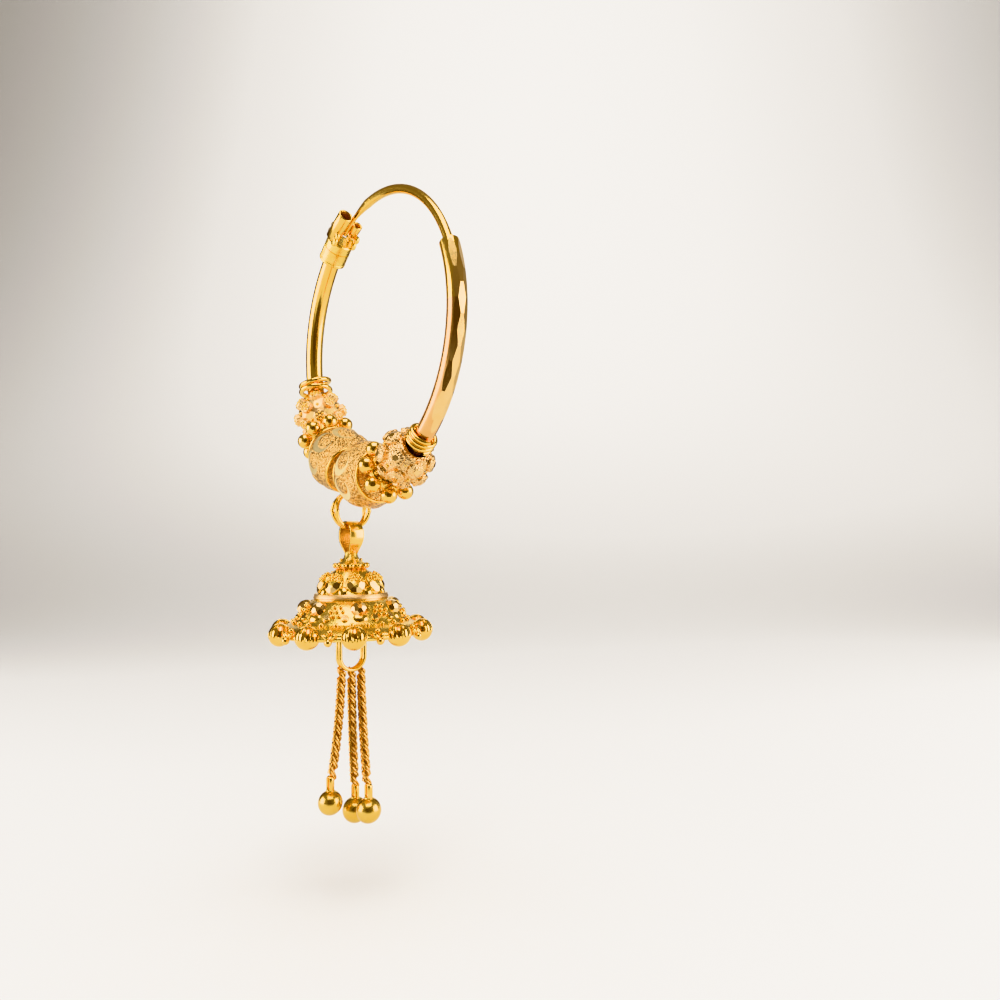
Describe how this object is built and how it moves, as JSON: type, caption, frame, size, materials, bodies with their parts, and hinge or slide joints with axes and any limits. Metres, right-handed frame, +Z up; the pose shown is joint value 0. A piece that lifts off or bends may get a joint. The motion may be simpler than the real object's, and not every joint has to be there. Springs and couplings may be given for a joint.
{
  "type": "hoop earring",
  "caption": "A hoop earring: beads threaded on a round tube, an ear wire and catch at the top, and a flared bell drop on jump rings with short chains ending in balls",
  "frame": {"origin": "on the inside of the ear wire where the ear bears it, beside the catch and straight above the earring's centre of mass", "axes": "+Z up; X in the hoop's plane, the catch on the -X side; Y across the hoop"},
  "size_m": [0.0242, 0.0134, 0.0506],
  "materials": {
    "polished_gold": "polished yellow gold, bright with warm dark reflections",
    "satin_gold": "satin pinkish gold, fine frosted grain with bright diamond cuts",
    "stippled_gold": "stippled pinkish-beige gold with pale polished crescent cuts",
    "chain_gold": "polished chain links, red-gold in the recesses"
  },
  "bodies": {
    "hoop": {"hoop_tube": "polished_gold", "ear_wire": "polished_gold", "catch": "polished_gold", "spacer_ring_upper": "polished_gold", "spacer_ring_lower": "polished_gold", "flower_bead_left": "satin_gold", "ball_ring_left": "polished_gold", "crescent_bead_left": "stippled_gold", "crescent_bead_right": "stippled_gold", "ball_ring_right": "polished_gold", "flower_bead_right": "satin_gold", "coil_spacer": "polished_gold"},
    "ring": {"jump_ring_near": "polished_gold", "jump_ring_far": "polished_gold"},
    "drop": {"bell": "polished_gold", "lower_ring_near": "polished_gold", "lower_ring_far": "polished_gold", "chain_left": "chain_gold", "chain_middle": "chain_gold", "chain_right": "chain_gold", "end_ball_left": "polished_gold", "end_ball_middle": "polished_gold", "end_ball_right": "polished_gold"}
  },
  "joints": [
    {"name": "ring_swing", "type": "hinge", "parent": "hoop", "child": "ring", "pos_m": [-0.00156, 0, -0.02314], "axis": [1, 0, 0], "range_deg": [-60, 60]},
    {"name": "drop_swing", "type": "hinge", "parent": "ring", "child": "drop", "pos_m": [-0.00156, 0, -0.02561], "axis": [0, 1, 0], "range_deg": [-40, 40]}
  ]
}
